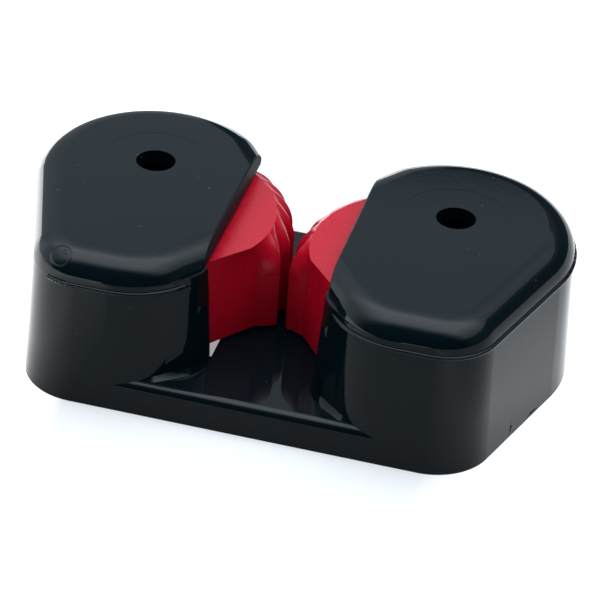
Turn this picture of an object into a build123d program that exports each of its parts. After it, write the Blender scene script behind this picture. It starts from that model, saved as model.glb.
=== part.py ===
"""Cam cleat: two spring-loaded toothed cams in a one-piece moulded housing.

Units are millimetres and +Z is up. The origin lies on the deck face, halfway between
the two screw holes. X runs from screw to screw, and the rope runs along Y: it comes
from the load at +Y, between the cams, and leaves towards the sailor at -Y.
"""
from build123d import *
from math import cos, radians, sin, sqrt, tan
import os

os.makedirs("parts", exist_ok=True)

# ---- driving dimensions -------------------------------------------------------------
HOLE_SPACING = 38.0
PIVOT_X = HOLE_SPACING / 2
SCREW_HOLE_R = 2.45
HEIGHT = 19.9

# pod outline, at the parting ridge
POD_BACK_R = 14.8
POD_SIDE_LEAN = 17.6
FRONT_Y = -24.7
NOSE_OUTER_R = 7.0
NOSE_INNER_R = 10.0
NOSE_CORNER_X = 12.2
NOSE_LEAN = 34.8
BACK_CORNER_X = 8.9
BACK_LEAN = 34.8
BACK_CORNER_R = 6.0
LID_EDGE_X = 7.6
LID_FRONT_R = 5.0
LID_BACK_R = 4.0
TIP_X = 3.6
TIP_R = 5.0

# heights in the housing
FLOOR_Z = 4.2
RIDGE_Z = 16.3
LID_UNDER_Z = 17.3
TOP_FILLET = 3.5
BASE_GROWTH = 0.65
DRAFT = 2.28
WALL = 1.8
LIP_FILLET = 1.2
LID_EDGE_FILLET = 0.3
RIDGE_PROUD = 0.3
RIDGE_HEIGHT = 0.56
RIDGE_ROUND = 0.26
LEFT_RIDGE_END_X = -25.0
SINK_R = 6.7
SINK_DEPTH = 0.02

# rounded front corner of each cam opening, which guides the rope in
CORNER_FOOT_X = 11.6
CORNER_FOOT_Y = -17.2
CORNER_TOP_X = 12.35
CORNER_TOP_Y = -16.5
CORNER_R = 5.1
CORNER_SINK = 0.5
NOSE_X = 17.43
NOSE_GAP = 0.03
# flare at the corner's foot: height, then x, y and radius of its two rounded ends
FLARE = (
    (4.0, (12.0, -17.9, 5.55), (11.5, -23.25, 1.0)),
    (4.35, (11.8, -17.5, 5.3), (11.85, -22.9, 0.9)),
    (5.0, (11.68, -17.2, 5.05), (12.2, -22.5, 0.8)),
)
FLOOR_EDGE_X = 6.4
POCKET_EDGE_X = 12.0
POCKET_R = 20.6
BACK_POCKET_R = 17.2

# pivot sleeve, cam bore and retainer
SLEEVE_R = 3.6
SLEEVE_SEAT = 0.7
CAM_BORE_R = 3.65
RETAINER_R = 7.2
RETAINER_Z = 3.2
RETAINER_T = 1.2

# cam
CAM_BOTTOM_Z = 4.7
CROWN_Z = 12.0
CROWN_POWER = 3
CAM_TOP_Z = 16.9
FACE_R = 18.7
FACE_OFFSET = 4.54
CROWN_INSET = 4.7
CROWN_SHIFT = 2.5
CROWN_SLIDE = 0.3
FIRST_TOOTH = -23.0
TOOTH_LEAN = 2.0
TOOTH_PITCH = 11.0
TEETH = 6
FLANK_STEP = 5.0
TOOTH_DEPTH = 1.35
TOOTH_BULGE = 0.2
TOP_TOOTH_DEPTH = 0.05
TOP_TOOTH_BULGE = 0.03
HEEL_R = 18.3
HEEL_ANGLE = -29.3
HEEL_LEAN = 5.5
HEEL_FACE_BULGE = 0.05
ARM_R = 19.3
ARM_ANGLE = -57.0
ARM_BACK_R = 18.5
ARM_BACK_ANGLE = -65.0
LEAD_IN_R = 18.2
LEAD_IN_GROWTH = 0.3
LEAD_IN_ANGLE = -42.0
HUB_R = 8.6

# torsion spring in the cam's underside
SPRING_R = 5.4
WIRE_R = 0.4
BEND_R = 0.8
SPRING_TURNS = 3.5
SPRING_PITCH = 1.05
RECESS_INNER_R = 4.6
RECESS_OUTER_R = 6.3
RECESS_DEPTH = 5.4
LEG_HOLE_R = 0.55
SPRING_Z = 5.2
LEG_DOWN_Z = 3.5
LEG_UP_Z = 11.3
LEG_HOLE_TOP_Z = 11.7
SLEEVE_CHAMFER = 0.2
RETAINER_CHAMFER = 0.25


# ---- outlines -------------------------------------------------------------------------
def line_dir(lean, back):
    """Unit vector that leans towards the channel, running to the back (1) or front (-1)."""
    return -sin(radians(lean)), back * cos(radians(lean))


side_tangent = (
    PIVOT_X + POD_BACK_R * cos(radians(POD_SIDE_LEAN)),
    -POD_BACK_R * sin(radians(POD_SIDE_LEAN)),
)
side_run = (side_tangent[1] - FRONT_Y) / cos(radians(POD_SIDE_LEAN))
nose_outer = (side_tangent[0] - side_run * sin(radians(POD_SIDE_LEAN)), FRONT_Y)
nose_inner = (NOSE_CORNER_X, FRONT_Y)
back_corner = (BACK_CORNER_X, sqrt(POD_BACK_R**2 - (PIVOT_X - BACK_CORNER_X) ** 2))
arc_middle = (PIVOT_X + POD_BACK_R * cos(radians(45)), POD_BACK_R * sin(radians(45)))


def along(start, lean, back, x):
    """Point at the given x on the leaning line that starts at a corner."""
    dx, dy = line_dir(lean, back)
    run = (x - start[0]) / dx
    return x, start[1] + run * dy


def pod_outline(inner_x, front_r, back_r):
    """Face of the right-hand pod, cut off on the channel side at inner_x."""
    front_in = along(nose_inner, NOSE_LEAN, 1, inner_x)
    back_in = along(back_corner, BACK_LEAN, -1, inner_x)
    with BuildSketch() as outline:
        with BuildLine():
            Polyline(side_tangent, nose_outer, nose_inner, front_in, back_in, back_corner)
            ThreePointArc(back_corner, arc_middle, side_tangent)
        make_face()
        corners = outline.vertices()
        radii = (
            (nose_outer, NOSE_OUTER_R),
            (nose_inner, NOSE_INNER_R),
            (front_in, front_r),
            (back_in, back_r),
            (back_corner, BACK_CORNER_R),
        )
        for (x, y), radius in radii:
            corner = corners.sort_by_distance(Vector(x, y, 0))[0]
            fillet(outline.vertices().sort_by_distance(corner)[0], radius)
    return outline.sketch


def base_outline():
    """Face under both pods and the floor between them."""
    with BuildSketch() as outline:
        with BuildLine():
            Polyline((0, FRONT_Y), nose_outer, side_tangent)
            ThreePointArc(side_tangent, arc_middle, (PIVOT_X, POD_BACK_R))
            Line((PIVOT_X, POD_BACK_R), (0, POD_BACK_R))
            mirror(about=Plane.YZ)
        make_face()
        for side in (-1, 1):
            corner = Vector(side * nose_outer[0], FRONT_Y, 0)
            fillet(outline.vertices().sort_by_distance(corner)[0], NOSE_OUTER_R)
    return outline.sketch


full_pod = pod_outline(TIP_X, TIP_R, TIP_R)
lid_pod = pod_outline(LID_EDGE_X, LID_FRONT_R, LID_BACK_R)


# ---- housing ---------------------------------------------------------------------------
def pod_wall():
    """Drafted body of the right-hand pod, from the deck to the parting ridge."""
    with BuildPart() as wall:
        with BuildSketch():
            add(lid_pod)
            offset(amount=BASE_GROWTH)
        extrude(amount=RIDGE_Z, taper=DRAFT)
    return wall.part


def pod_top():
    """Domed top of the right-hand pod, trimmed square on the channel side."""
    with BuildPart() as top:
        with BuildSketch(Plane.XY.offset(RIDGE_Z)):
            add(full_pod)
        extrude(amount=HEIGHT - RIDGE_Z)
        fillet(top.edges().group_by(Axis.Z)[-1], TOP_FILLET)
        with BuildSketch(Plane.XY.offset(RIDGE_Z)):
            add(lid_pod)
        extrude(amount=HEIGHT - RIDGE_Z, mode=Mode.INTERSECT)
        channel_face = top.faces().filter_by(Axis.X).sort_by(Axis.X)[0]
        rim = channel_face.edges().filter_by_position(Axis.Z, HEIGHT - 1, HEIGHT)
        fillet(rim, LID_EDGE_FILLET)
    return top.part


def parting_ridge():
    """Fine bead along the mould's parting line, all round except on the channel side."""
    with BuildPart() as ridge:
        with BuildSketch(Plane.XY.offset(RIDGE_Z - RIDGE_HEIGHT / 2)):
            add(full_pod)
            offset(amount=RIDGE_PROUD)
            add(offset(lid_pod, RIDGE_PROUD, mode=Mode.PRIVATE), mode=Mode.INTERSECT)
            with Locations((LID_EDGE_X + RIDGE_PROUD - 20, 0)):
                Rectangle(40, 80, mode=Mode.SUBTRACT)
        extrude(amount=RIDGE_HEIGHT)
        fillet(ridge.edges().filter_by(Plane.XY), RIDGE_ROUND)
    return ridge.part


def left_parting_ridge():
    """The left pod's bead, which the mould's closing hides on that pod's outer side."""
    with BuildPart() as ridge:
        mirror(parting_ridge(), about=Plane.YZ)
        with Locations((LEFT_RIDGE_END_X - 20, 0, RIDGE_Z)):
            Box(40, 80, 4 * RIDGE_HEIGHT, mode=Mode.SUBTRACT)
    return ridge.part


def wrap(height, *rounds):
    """Plan at a height that wraps round circles given by x, y and radius."""
    with BuildSketch(Plane.XY.offset(height)) as plan:
        with BuildLine(mode=Mode.PRIVATE) as arcs:
            for x, y, radius in rounds:
                CenterArc((x, y), radius, 0, 360)
        make_hull(arcs.edges())
    return plan.sketch


def nose_round(height):
    """Pod's inner nose arc at a height, just under its drafted surface."""
    growth = BASE_GROWTH - height * tan(radians(DRAFT))
    return NOSE_X, FRONT_Y + NOSE_INNER_R, NOSE_INNER_R + growth - NOSE_GAP


def rope_corner():
    """Rounded front corner of the cam opening, wider at the floor than under the lid."""
    foot_z = FLOOR_Z - CORNER_SINK
    with BuildPart() as corner:
        add(wrap(foot_z, nose_round(foot_z), (CORNER_FOOT_X, CORNER_FOOT_Y, CORNER_R)))
        add(wrap(LID_UNDER_Z, nose_round(LID_UNDER_Z), (CORNER_TOP_X, CORNER_TOP_Y, CORNER_R)))
        loft()
    return corner.part


def corner_foot():
    """Concave flare that runs from the corner into the floor."""
    with BuildPart() as flare:
        for height, corner_end, nose_end in FLARE:
            add(wrap(height, corner_end, nose_end))
        loft()
    return flare.part


def cam_room():
    """Space inside the right-hand pod that the cam turns in."""
    with BuildPart() as room:
        with BuildSketch():
            add(offset(full_pod, -WALL, mode=Mode.PRIVATE))
            with Locations((FLOOR_EDGE_X - 20, 0)):
                Rectangle(40, 80, mode=Mode.SUBTRACT)
        extrude(amount=LID_UNDER_Z)
        with BuildSketch():
            with Locations((PIVOT_X, 0)):
                Circle(POCKET_R)
            with Locations(((FLOOR_EDGE_X + POCKET_EDGE_X) / 2, -16)):
                Rectangle(POCKET_EDGE_X - FLOOR_EDGE_X, 16, mode=Mode.INTERSECT)
        extrude(amount=LID_UNDER_Z)
        with BuildSketch(Plane.XY.offset(FLOOR_Z)):
            with Locations((PIVOT_X, 0)):
                Circle(BACK_POCKET_R)
            with Locations((POCKET_EDGE_X / 2, 0)):
                Rectangle(POCKET_EDGE_X, 2 * BACK_POCKET_R - 6, mode=Mode.INTERSECT)
        extrude(amount=LID_UNDER_Z - FLOOR_Z)
    return room.part


right_room = cam_room()

with BuildPart() as housing:
    with BuildSketch():
        add(base_outline())
        offset(amount=BASE_GROWTH)
    extrude(amount=FLOOR_Z, taper=DRAFT)
    fillet(housing.edges().group_by(Axis.Z)[-1], LIP_FILLET)
    for piece in (pod_wall(), pod_top(), rope_corner(), corner_foot()):
        add(piece)
        mirror(piece, about=Plane.YZ)
    add(parting_ridge())
    add(left_parting_ridge())
    add(right_room, mode=Mode.SUBTRACT)
    mirror(right_room, about=Plane.YZ, mode=Mode.SUBTRACT)
    with BuildSketch(Plane.XY.offset(HEIGHT)):
        with Locations((-PIVOT_X, 0), (PIVOT_X, 0)):
            Circle(SCREW_HOLE_R)
    extrude(amount=-HEIGHT, mode=Mode.SUBTRACT)
    with BuildSketch(Plane.XY.offset(LID_UNDER_Z)):
        with Locations((-PIVOT_X, 0), (PIVOT_X, 0)):
            Circle(SLEEVE_R)
    extrude(amount=SLEEVE_SEAT, mode=Mode.SUBTRACT)
    with BuildSketch(Plane.XY.offset(HEIGHT - SINK_DEPTH)):
        with Locations((-PIVOT_X, 0), (PIVOT_X, 0)):
            Circle(SINK_R)
    extrude(amount=SINK_DEPTH, mode=Mode.SUBTRACT)
housing.part.label = "housing"
export_step(housing.part, "parts/housing.step")


# ---- cams -----------------------------------------------------------------------------
def reach(angle, rise):
    """Distance from the pivot to the cam's face, at an angle positive to the back.

    The face is an eccentric circle that shrinks from the grip (rise 0) to the flat top
    (rise 1).
    """
    across = CROWN_SHIFT * rise
    back = -FACE_OFFSET - CROWN_SLIDE * rise
    radius = FACE_R - CROWN_INSET * rise
    near = across * cos(radians(angle)) + back * sin(radians(angle))
    return near + sqrt(near**2 - across**2 - back**2 + radius**2)


def cam_point(radius, angle):
    """Point of the right-hand cam, from a radius and an angle about its pivot."""
    return PIVOT_X - radius * cos(radians(angle)), radius * sin(radians(angle))


def blend(low, high, rise):
    """Value between the one at the grip and the one at the flat top."""
    return low + (high - low) * rise


def cam_profile(rise):
    """Plan of the right-hand cam at a rise: lead-in face, teeth, tail and hub."""
    depth = blend(TOOTH_DEPTH, TOP_TOOTH_DEPTH, rise)
    bulge = blend(TOOTH_BULGE, TOP_TOOTH_BULGE, rise)
    heel_angle = HEEL_ANGLE - HEEL_LEAN * rise
    heel_r = blend(HEEL_R, reach(heel_angle, 1), rise)
    heel = cam_point(heel_r, heel_angle)
    first = FIRST_TOOTH + TOOTH_LEAN * rise
    face_middle = (heel_angle + first) / 2
    face_low = (heel_r + reach(first, rise)) / 2 + HEEL_FACE_BULGE
    face_r = blend(face_low, reach(face_middle, 1), rise)
    arm_end = cam_point(ARM_R, ARM_ANGLE)
    lead_in = cam_point(LEAD_IN_R + LEAD_IN_GROWTH * rise, LEAD_IN_ANGLE)
    with BuildSketch() as profile:
        with BuildLine():
            ThreePointArc(arm_end, lead_in, heel)
            crest = cam_point(reach(first, rise), first)
            ThreePointArc(heel, cam_point(face_r, face_middle), crest)
            for tooth in range(TEETH):
                tip = first + TOOTH_PITCH * tooth
                gullet = tip + TOOTH_PITCH - FLANK_STEP
                middle = (tip + gullet) / 2
                root = cam_point(reach(gullet, rise) - depth, gullet)
                slope = cam_point(reach(middle, rise) - depth / 2 + bulge, middle)
                ThreePointArc(crest, slope, root)
                crest = cam_point(reach(tip + TOOTH_PITCH, rise), tip + TOOTH_PITCH)
                if tooth < TEETH - 1:
                    Line(root, crest)
            tail = cam_point(HUB_R, 75)
            hub_front = cam_point(HUB_R, -100)
            Line(root, tail)
            ThreePointArc(tail, cam_point(HUB_R, 180), hub_front)
            Polyline(hub_front, cam_point(ARM_BACK_R, ARM_BACK_ANGLE), arm_end)
        make_face()
    return profile.sketch


def cam_crown():
    """Upper part of the cam, whose toothed face curves in to the flat top."""
    with BuildPart() as crown:
        for share in (0, 1 / 3, 2 / 3, 1):
            with BuildSketch(Plane.XY.offset(blend(CROWN_Z, CAM_TOP_Z, share))):
                add(cam_profile(share**CROWN_POWER))
        loft()
    return crown.part


with BuildPart() as right_cam:
    with BuildSketch(Plane.XY.offset(CAM_BOTTOM_Z)):
        add(cam_profile(0))
    extrude(amount=CROWN_Z - CAM_BOTTOM_Z)
    add(cam_crown())
    with BuildSketch(Plane.XY.offset(CAM_BOTTOM_Z)):
        with Locations((PIVOT_X, 0)):
            Circle(CAM_BORE_R)
    extrude(amount=CAM_TOP_Z - CAM_BOTTOM_Z, mode=Mode.SUBTRACT)
    with BuildSketch(Plane.XY.offset(CAM_BOTTOM_Z)):
        with Locations((PIVOT_X, 0)):
            Circle(RECESS_OUTER_R)
            Circle(RECESS_INNER_R, mode=Mode.SUBTRACT)
    extrude(amount=RECESS_DEPTH, mode=Mode.SUBTRACT)
    with BuildSketch(Plane.XY.offset(CAM_BOTTOM_Z)):
        with Locations((PIVOT_X - SPRING_R, -BEND_R)):
            Circle(LEG_HOLE_R)
    extrude(amount=LEG_HOLE_TOP_Z - CAM_BOTTOM_Z, mode=Mode.SUBTRACT)


# ---- pivots and springs ------------------------------------------------------------------
with BuildPart() as right_sleeve:
    with BuildSketch():
        with Locations((PIVOT_X, 0)):
            Circle(SLEEVE_R)
            Circle(SCREW_HOLE_R, mode=Mode.SUBTRACT)
    extrude(amount=LID_UNDER_Z + SLEEVE_SEAT)
    chamfer(right_sleeve.edges().group_by(Axis.Z)[0], SLEEVE_CHAMFER)

with BuildPart() as right_retainer:
    with BuildSketch(Plane.XY.offset(RETAINER_Z)):
        with Locations((PIVOT_X, 0)):
            Circle(RETAINER_R)
            Circle(SLEEVE_R, mode=Mode.SUBTRACT)
        with Locations((PIVOT_X + SPRING_R, -BEND_R)):
            Circle(LEG_HOLE_R, mode=Mode.SUBTRACT)
    extrude(amount=RETAINER_T)
    rims = right_retainer.edges().filter_by(GeomType.CIRCLE).sort_by(SortBy.RADIUS)[-2:]
    chamfer(rims, RETAINER_CHAMFER)


def spring_bend(end, coil_way, up):
    """Quarter bend that turns the coil's end into a leg along Z, and the leg's start."""
    step = coil_way * BEND_R + Vector(0, 0, up * BEND_R)
    TangentArc(end, end + step, tangent=coil_way)
    return end + step


with BuildPart() as right_spring:
    with BuildLine() as wire:
        coil = Helix(
            SPRING_PITCH,
            SPRING_TURNS * SPRING_PITCH,
            SPRING_R,
            center=(PIVOT_X, 0, SPRING_Z),
        )
        low = spring_bend(coil @ 0, (coil % 0) * -1, -1)
        high = spring_bend(coil @ 1, coil % 1, 1)
        foot = Vector(low.X, low.Y, LEG_DOWN_Z)
        Line(low, foot)
        Line(high, Vector(high.X, high.Y, LEG_UP_Z))
    with BuildSketch(Plane.XY.offset(LEG_DOWN_Z)):
        with Locations((foot.X, foot.Y)):
            Circle(WIRE_R)
    sweep(path=wire.wires()[0], is_frenet=True)


# ---- both sides ----------------------------------------------------------------------------
pairs = {
    "cam": right_cam.part,
    "sleeve": right_sleeve.part,
    "retainer": right_retainer.part,
    "spring": right_spring.part,
}
for kind, right_part in pairs.items():
    with BuildPart() as left:
        mirror(right_part, about=Plane.YZ)
    right_part.label = f"right_{kind}"
    left.part.label = f"left_{kind}"
    export_step(right_part, f"parts/right_{kind}.step")
    export_step(left.part, f"parts/left_{kind}.step")
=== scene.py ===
"""Looks of the cam cleat: plastics, steel, small moulding marks, light and camera.

Everything is in metres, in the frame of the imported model: +X runs from the left screw
hole to the right one, the rope runs along Y, and the deck is at Z = 0.
"""

import random
from math import cos, pi, radians, sin

import bpy
from mathutils import Matrix, Vector
from mathutils.bvhtree import BVHTree


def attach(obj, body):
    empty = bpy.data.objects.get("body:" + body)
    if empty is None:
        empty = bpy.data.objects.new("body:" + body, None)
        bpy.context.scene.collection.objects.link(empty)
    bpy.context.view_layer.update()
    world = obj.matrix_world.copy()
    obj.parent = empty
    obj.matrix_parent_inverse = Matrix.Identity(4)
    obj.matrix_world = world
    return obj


MM = 0.001
MICRON = 0.000001

# ---- camera ----------------------------------------------------------------------------
CAMERA_AZIMUTH = radians(12.34)
CAMERA_ELEVATION = radians(33.77)
CAMERA_ROLL = radians(4.3)
CAMERA_AIM = Vector((0.08, 1.71, 2.48)) * MM
CAMERA_DISTANCE = 399.7 * MM
CAMERA_NEAREST = 0.01
CAMERA_FARTHEST = 20.0
LENS = 190.8
SENSOR = 36.0

# ---- light -----------------------------------------------------------------------------
FLOOR_SIZE = 6.0
FLOOR_COLOUR = (0.3, 0.3, 0.3, 1)
# painted light and shade on the floor: its emission is the product of these levels,
# painting pools of light beside the pods and far out, and shade under the channel and in
# front. Each level has its axis, a range along it in millimetres, and the levels at both
# ends of the range, which hold beyond it
FLOOR_PAINTED_LIGHT = (
    ("X", (22.0, 36.0), (0.35, 1.15)),  # under the channel, and beside the right pod
    ("X", (-36.0, -22.0), (2.6 / 0.35, 1.0)),  # beside the left pod
    ("X", (-85.0, -50.0), (1.7, 1.0)),  # well to the left
    ("X", (38.0, 50.0), (1.0, 0.5)),  # well to the right
    ("Y", (-34.0, -12.0), (0.85, 1.0)),  # in front
)
TENT_TINT = (0.88, 0.96, 1.04, 1)
TENT_PEAK = 7.0
# brightness of the light tent, as shares of its peak, from the front (-1) to the back (1)
TENT = (
    (-1.0, 0.002),
    (-0.86, 0.004),
    (-0.62, 0.02),
    (-0.5, 0.22),
    (-0.36, 0.72),
    (-0.16, 1.0),
    (0.3, 1.0),
    (0.45, 0.62),
    (0.6, 0.34),
    (0.78, 0.16),
    (1.0, 0.12),
)
# directions to either side that the tent dims over, and its share of brightness beyond
TENT_WIDTH = (0.35, 0.8)
TENT_SIDE_SHARE = 0.35
# dark opening in the tent, from a little left of the middle all the way to the right: the
# directions that its left edge fades over, and the share of the tent's brightness that is
# left at each height from the bottom (-1) to the top (1)
OPENING_SIDE = (-0.205, -0.165)
OPENING = (
    (-1.0, 0.1),
    (0.4, 0.1),
    (0.505, 0.3),
    (0.5205, 0.35),
    (0.5245, 1.0),
    (1.0, 1.0),
)

# ---- finishes --------------------------------------------------------------------------
# values that most of a noise lies between
NOISE_RANGE = (0.3, 0.7)

# gloss black: two shades, two degrees of rubbing, and a low index for its weak reflections
BLACKS = ((0.0005, 0.0024, 0.0034), (0.0009, 0.0032, 0.0045))
BLACK_ROUGHNESS = (0.018, 0.035)
BLACK_IOR = 1.222

# dust: cells in a metre, the fade of a speck's edge as a share of its cell, the noise that
# patches of it fade in over, and how dense they get
DUST_SCALE = 520.0
DUST_EDGE = (0.055, 0.085)
DUST_PATCHES = (0.55, 0.65)
DUST_DENSITY = 0.4
DUST_COLOUR = (0.05, 0.055, 0.06)

# dull trimmed faces of the lids beside the channel: where they start in X and Z
TRIM_EDGE = (7.72 * MM, 7.82 * MM)
TRIM_HEIGHT = (17.0 * MM, 17.1 * MM)
TRIM_ROUGHNESS = 0.6

# cams
REDS = ((0.218, 0.0007, 0.0068), (0.256, 0.0011, 0.0098))
RED_ROUGHNESS = (0.24, 0.32)

# pivot sleeves: their colours outside the bore and in it, where the steel is painted dark
# as shade, the distance of their axes from the middle, and the radii that the painted shade
# fades over
OUTER_STEELS = ((0.50, 0.50, 0.52), (0.64, 0.64, 0.65))
BORE_SHADE_STEELS = ((0.012, 0.012, 0.013), (0.03, 0.028, 0.026))
STEEL_ROUGHNESS = (0.24, 0.42)
PIVOT_X = 19.0 * MM
BORE_EDGE = (2.6 * MM, 2.9 * MM)

# springs and retainers
WIRES = ((0.42, 0.42, 0.44), (0.58, 0.57, 0.56))
WIRE_ROUGHNESS = (0.28, 0.45)
ACETALS = ((0.030, 0.030, 0.033), (0.052, 0.052, 0.056))
ACETAL_ROUGHNESS = (0.48, 0.62)

# ---- moulding marks --------------------------------------------------------------------
# marks on the housing, in millimetres: name, place, radius and bead thickness of the gate
# witness rings, and name, ends and thickness of the bits of flash
GATES = (
    ("left_gate_ring", (-23.6, -22.8, 18.8), 1.35, 0.17),
    ("left_gate_nub", (-23.2, -22.4, 18.9), 0.25, 0.13),
    ("right_gate_ring", (10.6, -23.2, 18.7), 1.2, 0.05),
)
FLASHES = (
    ("corner_flash_upper", (-25.3, -24.4, 16.4), (-22.0, -25.0, 16.4), 0.24),
    ("corner_flash_lower", (-23.6, -24.9, 15.9), (-20.6, -25.3, 15.9), 0.2),
    ("edge_flash_front", (30.6, -14.5, 0.4), (30.6, -14.2, 1.9), 0.2),
    ("edge_flash_back", (31.8, -10.5, 0.4), (32.7, -7.8, 0.4), 0.22),
    ("floor_pip", (-2.65, -14.4, 4.2), (-2.5, -14.4, 4.2), 0.09),
)
BEAD_SIDES = 10
# points round a ring, how deep its bead sits as a share of the bead's radius, and how that
# radius swells: its middle value and swing as shares of the thickness, and how many times
RING_STEPS = 72
RING_SINK = 0.55
RING_SWELL = (0.8, 0.3, 3)
# points along a bit of flash, how deep it sits, the share of its thickness that the very
# ends keep, and the shares that its ragged radius is drawn from
FLASH_STEPS = 26
FLASH_SINK = 0.35
FLASH_END = 0.1
FLASH_RAGGED = (0.35, 1.0)


# ---- shader helpers --------------------------------------------------------------------
def feed(tree, socket, value):
    """Links a socket to another, or sets it to a plain value."""
    if isinstance(value, bpy.types.NodeSocket):
        tree.links.new(value, socket)
    else:
        socket.default_value = value


def new_material(name):
    """Empty node material, with its node tree."""
    material = bpy.data.materials.new(name)
    material.use_nodes = True
    return material, material.node_tree


def connect(tree, **sockets):
    """Values and links for a material's Principled shader."""
    shader = tree.nodes["Principled BSDF"]
    for key, value in sockets.items():
        feed(tree, shader.inputs[key.replace("_", " ")], value)


def add(tree, kind, settings=None, **inputs):
    """New node; settings are its properties, and inputs are values or sockets to link."""
    node = tree.nodes.new(kind)
    for key, value in (settings or {}).items():
        setattr(node, key, value)
    for key, value in inputs.items():
        feed(tree, node.inputs[key.replace("_", " ")], value)
    return node


def place(tree):
    """Coordinates that are fixed to the piece, in metres."""
    return add(tree, "ShaderNodeTexCoord").outputs["Object"]


def split(tree, vector):
    """X, Y and Z of a vector."""
    return add(tree, "ShaderNodeSeparateXYZ", Vector=vector).outputs


def noise(tree, where, scale, detail, stretch=(1, 1, 1)):
    """Noise between 0 and 1, with this many waves in a metre."""
    moved = add(tree, "ShaderNodeMapping", Vector=where, Scale=stretch)
    return add(
        tree,
        "ShaderNodeTexNoise",
        Vector=moved.outputs["Vector"],
        Scale=scale,
        Detail=detail,
    ).outputs["Fac"]


def remap(tree, value, span, levels):
    """Value moved from one range to another, held within it."""
    node = add(tree, "ShaderNodeMapRange", Value=value)
    ends = ("From Min", "From Max", "To Min", "To Max")
    for end, number in zip(ends, (*span, *levels)):
        node.inputs[end].default_value = number
    return node.outputs["Result"]


def calculate(tree, operation, *values):
    """Result of an operation on one or two values."""
    node = add(tree, "ShaderNodeMath", {"operation": operation})
    for socket, value in zip(node.inputs, values):
        feed(tree, socket, value)
    return node.outputs[0]


def multiply(tree, first, second):
    """Product of two values."""
    return calculate(tree, "MULTIPLY", first, second)


def ramp(tree, value, stops):
    """Piecewise linear curve through stops of position from -1 to 1 and level."""
    share = remap(tree, value, (-1.0, 1.0), (0.0, 1.0))
    node = add(tree, "ShaderNodeValToRGB", Fac=share)
    curve = node.color_ramp
    curve.elements.remove(curve.elements[1])
    curve.elements[0].position = (stops[0][0] + 1) / 2
    curve.elements[0].color = (stops[0][1],) * 3 + (1,)
    for position, level in stops[1:]:
        curve.elements.new((position + 1) / 2).color = (level,) * 3 + (1,)
    return node.outputs["Color"]


def blend_colours(tree, share, first, second):
    """First colour where share is 0, and second where it is 1."""
    node = add(tree, "ShaderNodeMix", {"data_type": "RGBA"})
    feed(tree, node.inputs[0], share)
    for socket, colour in ((node.inputs[6], first), (node.inputs[7], second)):
        plain = isinstance(colour, tuple)
        feed(tree, socket, (*colour, 1) if plain else colour)
    return node.outputs[2]


def blend_values(tree, share, first, second):
    """First value where share is 0, and second where it is 1."""
    node = add(tree, "ShaderNodeMix", {"data_type": "FLOAT"})
    for index, value in ((0, share), (2, first), (3, second)):
        feed(tree, node.inputs[index], value)
    return node.outputs[0]


def bump(tree, height, depth, below=None):
    """Surface relief of a height between 0 and 1 times a depth in metres."""
    node = add(tree, "ShaderNodeBump", Height=height, Distance=depth, Strength=1.0)
    if below is not None:
        feed(tree, node.inputs["Normal"], below)
    return node.outputs["Normal"]


# ---- materials -------------------------------------------------------------------------
def black_moulding():
    """Gloss black nylon: orange peel, rub marks, a little dust, and dull trimmed faces."""
    material, tree = new_material("black_moulding")
    where = place(tree)
    axes = split(tree, where)
    cloud = noise(tree, where, scale=90, detail=3)
    rub = noise(tree, where, scale=900, detail=4, stretch=(1, 0.12, 1))
    peel = noise(tree, where, scale=1400, detail=2)
    specks = add(tree, "ShaderNodeTexVoronoi", Vector=where, Scale=DUST_SCALE)
    dust = remap(tree, specks.outputs["Distance"], DUST_EDGE, (1.0, 0.0))
    gathered = noise(tree, where, scale=160, detail=2)
    dusty = multiply(tree, dust, remap(tree, gathered, DUST_PATCHES, (0.0, DUST_DENSITY)))
    aside = calculate(tree, "ABSOLUTE", axes["X"])
    trimmed = multiply(
        tree,
        remap(tree, aside, TRIM_EDGE, (1.0, 0.0)),
        remap(tree, axes["Z"], TRIM_HEIGHT, (0.0, 1.0)),
    )
    rubbed = remap(tree, rub, NOISE_RANGE, BLACK_ROUGHNESS)
    fine = bump(tree, peel, depth=1.2 * MICRON)
    connect(
        tree,
        Base_Color=blend_colours(
            tree, dusty, blend_colours(tree, cloud, *BLACKS), DUST_COLOUR
        ),
        Roughness=blend_values(tree, trimmed, rubbed, TRIM_ROUGHNESS),
        Normal=bump(tree, cloud, depth=10 * MICRON, below=fine),
        IOR=BLACK_IOR,
    )
    return material


def red_moulding():
    """Satin deep red plastic of the cams, a little translucent."""
    material, tree = new_material("red_moulding")
    where = place(tree)
    cloud = noise(tree, where, scale=140, detail=3)
    flow = noise(tree, where, scale=700, detail=3, stretch=(1, 1, 0.1))
    connect(
        tree,
        Base_Color=blend_colours(tree, cloud, *REDS),
        Roughness=remap(tree, flow, NOISE_RANGE, RED_ROUGHNESS),
        Normal=bump(tree, flow, depth=6 * MICRON),
        IOR=1.33,
        Subsurface_Weight=0.12,
        Subsurface_Scale=0.8 * MM,
        Subsurface_Radius=(1.0, 0.15, 0.1),
    )
    return material


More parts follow.
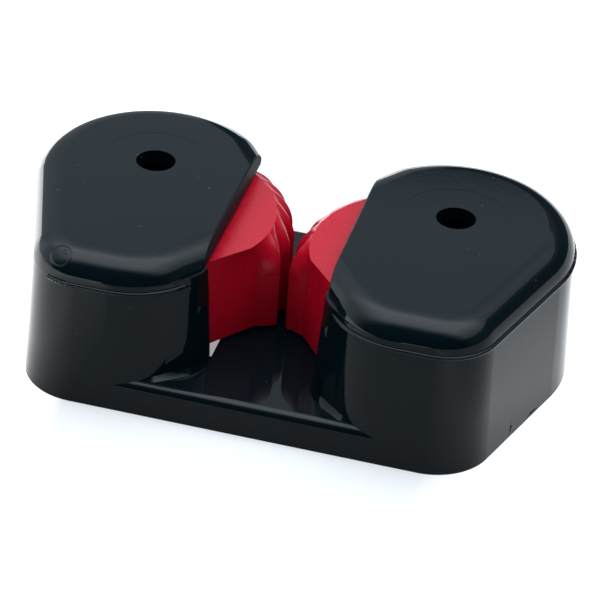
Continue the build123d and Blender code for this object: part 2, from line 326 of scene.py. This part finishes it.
def turned_steel():
    """Stainless tube with the fine rings of a lathe tool, painted dark in its bore as
    shade.
    """
    material, tree = new_material("turned_steel")
    where = place(tree)
    axes = split(tree, where)
    rings = noise(tree, where, scale=2600, detail=2, stretch=(0.04, 0.04, 1))
    stain = noise(tree, where, scale=260, detail=3)
    across = calculate(
        tree, "SUBTRACT", calculate(tree, "ABSOLUTE", axes["X"]), PIVOT_X
    )
    flat = add(tree, "ShaderNodeCombineXYZ", X=across, Y=axes["Y"]).outputs["Vector"]
    radius = add(tree, "ShaderNodeVectorMath", {"operation": "LENGTH"}, Vector=flat)
    outside = remap(tree, radius.outputs["Value"], BORE_EDGE, (0.0, 1.0))
    # painted shade: inside the bore the steel is painted dark
    bore_shade = blend_colours(tree, stain, *BORE_SHADE_STEELS)
    outer_steel = blend_colours(tree, stain, *OUTER_STEELS)
    connect(
        tree,
        Base_Color=blend_colours(tree, outside, bore_shade, outer_steel),
        Roughness=remap(tree, rings, NOISE_RANGE, STEEL_ROUGHNESS),
        Normal=bump(tree, rings, depth=4 * MICRON),
        Metallic=1.0,
    )
    return material


def spring_wire():
    """Drawn stainless wire, slightly dull."""
    material, tree = new_material("spring_wire")
    drawn = noise(tree, place(tree), scale=3200, detail=2)
    connect(
        tree,
        Base_Color=blend_colours(tree, drawn, *WIRES),
        Roughness=remap(tree, drawn, NOISE_RANGE, WIRE_ROUGHNESS),
        Metallic=1.0,
    )
    return material


def retainer_moulding():
    """Matt dark acetal ring under the cam."""
    material, tree = new_material("retainer_moulding")
    grain = noise(tree, place(tree), scale=1800, detail=3)
    connect(
        tree,
        Base_Color=blend_colours(tree, grain, *ACETALS),
        Roughness=remap(tree, grain, NOISE_RANGE, ACETAL_ROUGHNESS),
        Normal=bump(tree, grain, depth=8 * MICRON),
    )
    return material


def finish_nodes(nodes):
    """Every CAD node's finish, by what the last word of its name says it is."""
    finishes = {
        "housing": black_moulding(),
        "cam": red_moulding(),
        "sleeve": turned_steel(),
        "retainer": retainer_moulding(),
        "spring": spring_wire(),
    }
    for name, node_object in nodes.items():
        for slot in node_object.material_slots:
            slot.material = finishes[name.split("_")[-1]]
    return finishes


# ---- moulding marks --------------------------------------------------------------------
def surface_of(node_object):
    """Search tree over a CAD node's faces."""
    mesh = node_object.data
    return BVHTree.FromPolygons(
        [vertex.co.copy() for vertex in mesh.vertices],
        [tuple(face.vertices) for face in mesh.polygons],
    )


def new_piece(name, points, faces, material):
    """Smooth-shaded mesh that rides on the base."""
    mesh = bpy.data.meshes.new(name)
    mesh.from_pydata(points, [], faces)
    mesh.materials.append(material)
    for face in mesh.polygons:
        face.use_smooth = True
    piece = bpy.data.objects.new(name, mesh)
    bpy.context.scene.collection.objects.link(piece)
    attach(piece, "base")
    return piece


def bead(name, surface, path, radii, material, sink, closed=False):
    """Fine bead of plastic laid on a surface along a path, with a radius at each point."""
    laid = [surface.find_nearest(point)[:2] for point in path]
    count = len(laid)
    points = []
    for index, ((spot, normal), radius) in enumerate(zip(laid, radii)):
        before = laid[index - 1 if closed else max(index - 1, 0)][0]
        after = laid[(index + 1) % count if closed else min(index + 1, count - 1)][0]
        across = (after - before).cross(normal).normalized()
        centre = spot - normal * radius * sink
        for side in range(BEAD_SIDES):
            angle = 2 * pi * side / BEAD_SIDES
            points.append(centre + (across * cos(angle) + normal * sin(angle)) * radius)
    faces = []
    for index in range(count if closed else count - 1):
        here, there = index * BEAD_SIDES, (index + 1) % count * BEAD_SIDES
        for side in range(BEAD_SIDES):
            other = (side + 1) % BEAD_SIDES
            faces.append((here + side, here + other, there + other, there + side))
    if not closed:
        last = (count - 1) * BEAD_SIDES
        faces.append(tuple(range(BEAD_SIDES - 1, -1, -1)))
        faces.append(tuple(last + side for side in range(BEAD_SIDES)))
    return new_piece(name, points, faces, material)


def gate_ring(name, surface, middle, radius, thickness, material):
    """Witness ring that the mould's gate insert leaves round a point of the surface."""
    spot, normal = surface.find_nearest(middle)[:2]
    first = normal.orthogonal().normalized()
    second = normal.cross(first)
    level, swing, swells = RING_SWELL
    path = []
    radii = []
    for step in range(RING_STEPS):
        angle = 2 * pi * step / RING_STEPS
        path.append(spot + (first * cos(angle) + second * sin(angle)) * radius)
        radii.append(thickness * (level + swing * sin(swells * angle)))
    return bead(name, surface, path, radii, material, RING_SINK, closed=True)


def flash(name, surface, start, end, thickness, material, seed):
    """Ragged bit of flash along a line, thinning out at both ends."""
    dice = random.Random(seed)
    path = []
    radii = []
    for step in range(FLASH_STEPS):
        share = step / (FLASH_STEPS - 1)
        swell = FLASH_END + sin(pi * share)
        path.append(start.lerp(end, share))
        radii.append(thickness * swell * dice.uniform(*FLASH_RAGGED))
    return bead(name, surface, path, radii, material, FLASH_SINK)


def make_marks(nodes, material):
    """The marks that the mould left on the housing."""
    surface = surface_of(nodes["housing"])
    for name, middle, radius, thickness in GATES:
        gate_ring(name, surface, Vector(middle) * MM, radius * MM, thickness * MM, material)
    for seed, (name, start, end, thickness) in enumerate(FLASHES):
        ends = (Vector(start) * MM, Vector(end) * MM)
        flash(name, surface, *ends, thickness * MM, material, seed)


# ---- stage -----------------------------------------------------------------------------
def make_floor():
    """Wide pale floor at deck level, its emission painted brighter and darker by place as
    light and shade.
    """
    half = FLOOR_SIZE / 2
    mesh = bpy.data.meshes.new("floor")
    corners = [(-half, -half, 0), (half, -half, 0), (half, half, 0), (-half, half, 0)]
    mesh.from_pydata(corners, [], [(0, 1, 2, 3)])
    floor = bpy.data.objects.new("floor", mesh)
    bpy.context.scene.collection.objects.link(floor)
    material, tree = new_material("floor_paper")
    axes = split(tree, place(tree))
    # painted light and shade: the floor's emission strength is set place by place from the
    # levels above
    painted_light = 1.0
    for axis, (start, end), levels in FLOOR_PAINTED_LIGHT:
        level = remap(tree, axes[axis], (start * MM, end * MM), levels)
        painted_light = multiply(tree, painted_light, level)
    connect(
        tree,
        Base_Color=FLOOR_COLOUR,
        Roughness=0.9,
        Specular_IOR_Level=0.1,
        Emission_Color=(1, 1, 1, 1),
        Emission_Strength=painted_light,
    )
    mesh.materials.append(material)


def make_tent():
    """Light tent: bright overhead, softer at the back and sides, dark at the front."""
    world = bpy.data.worlds.new("tent")
    bpy.context.scene.world = world
    world.use_nodes = True
    tree = world.node_tree
    axes = split(tree, add(tree, "ShaderNodeTexCoord").outputs["Generated"])
    along = ramp(tree, axes["Y"], TENT)
    aside = calculate(tree, "ABSOLUTE", axes["X"])
    width = remap(tree, aside, TENT_WIDTH, (1.0, TENT_SIDE_SHARE))
    right = remap(tree, axes["X"], OPENING_SIDE, (0.0, 1.0))
    opening = blend_values(tree, right, 1.0, ramp(tree, axes["Z"], OPENING))
    level = multiply(tree, multiply(tree, along, width), multiply(tree, opening, TENT_PEAK))
    background = tree.nodes["Background"]
    feed(tree, background.inputs["Color"], TENT_TINT)
    feed(tree, background.inputs["Strength"], level)


def make_camera():
    """Camera at the product shot's angle, turned a little about its own axis."""
    data = bpy.data.cameras.new("camera")
    data.lens = LENS
    data.sensor_width = SENSOR
    data.clip_start = CAMERA_NEAREST
    data.clip_end = CAMERA_FARTHEST
    camera = bpy.data.objects.new("camera", data)
    bpy.context.scene.collection.objects.link(camera)
    back = Vector(
        (
            sin(CAMERA_AZIMUTH) * cos(CAMERA_ELEVATION),
            -cos(CAMERA_AZIMUTH) * cos(CAMERA_ELEVATION),
            sin(CAMERA_ELEVATION),
        )
    )
    turn = (
        Matrix.Rotation(CAMERA_AZIMUTH, 4, "Z")
        @ Matrix.Rotation(pi / 2 - CAMERA_ELEVATION, 4, "X")
        @ Matrix.Rotation(CAMERA_ROLL, 4, "Z")
    )
    camera.matrix_world = Matrix.Translation(CAMERA_AIM + back * CAMERA_DISTANCE) @ turn
    bpy.context.scene.camera = camera


# ---- the scene -------------------------------------------------------------------------
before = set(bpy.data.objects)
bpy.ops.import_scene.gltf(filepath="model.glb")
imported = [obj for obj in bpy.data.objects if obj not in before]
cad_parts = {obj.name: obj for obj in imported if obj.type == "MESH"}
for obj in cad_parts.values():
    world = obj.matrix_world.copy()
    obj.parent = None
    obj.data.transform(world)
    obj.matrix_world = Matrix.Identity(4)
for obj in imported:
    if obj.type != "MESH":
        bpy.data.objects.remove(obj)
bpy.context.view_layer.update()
finishes = finish_nodes(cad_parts)
make_marks(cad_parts, finishes["housing"])
make_floor()
make_tent()
make_camera()
bpy.context.scene.view_settings.view_transform = "Standard"
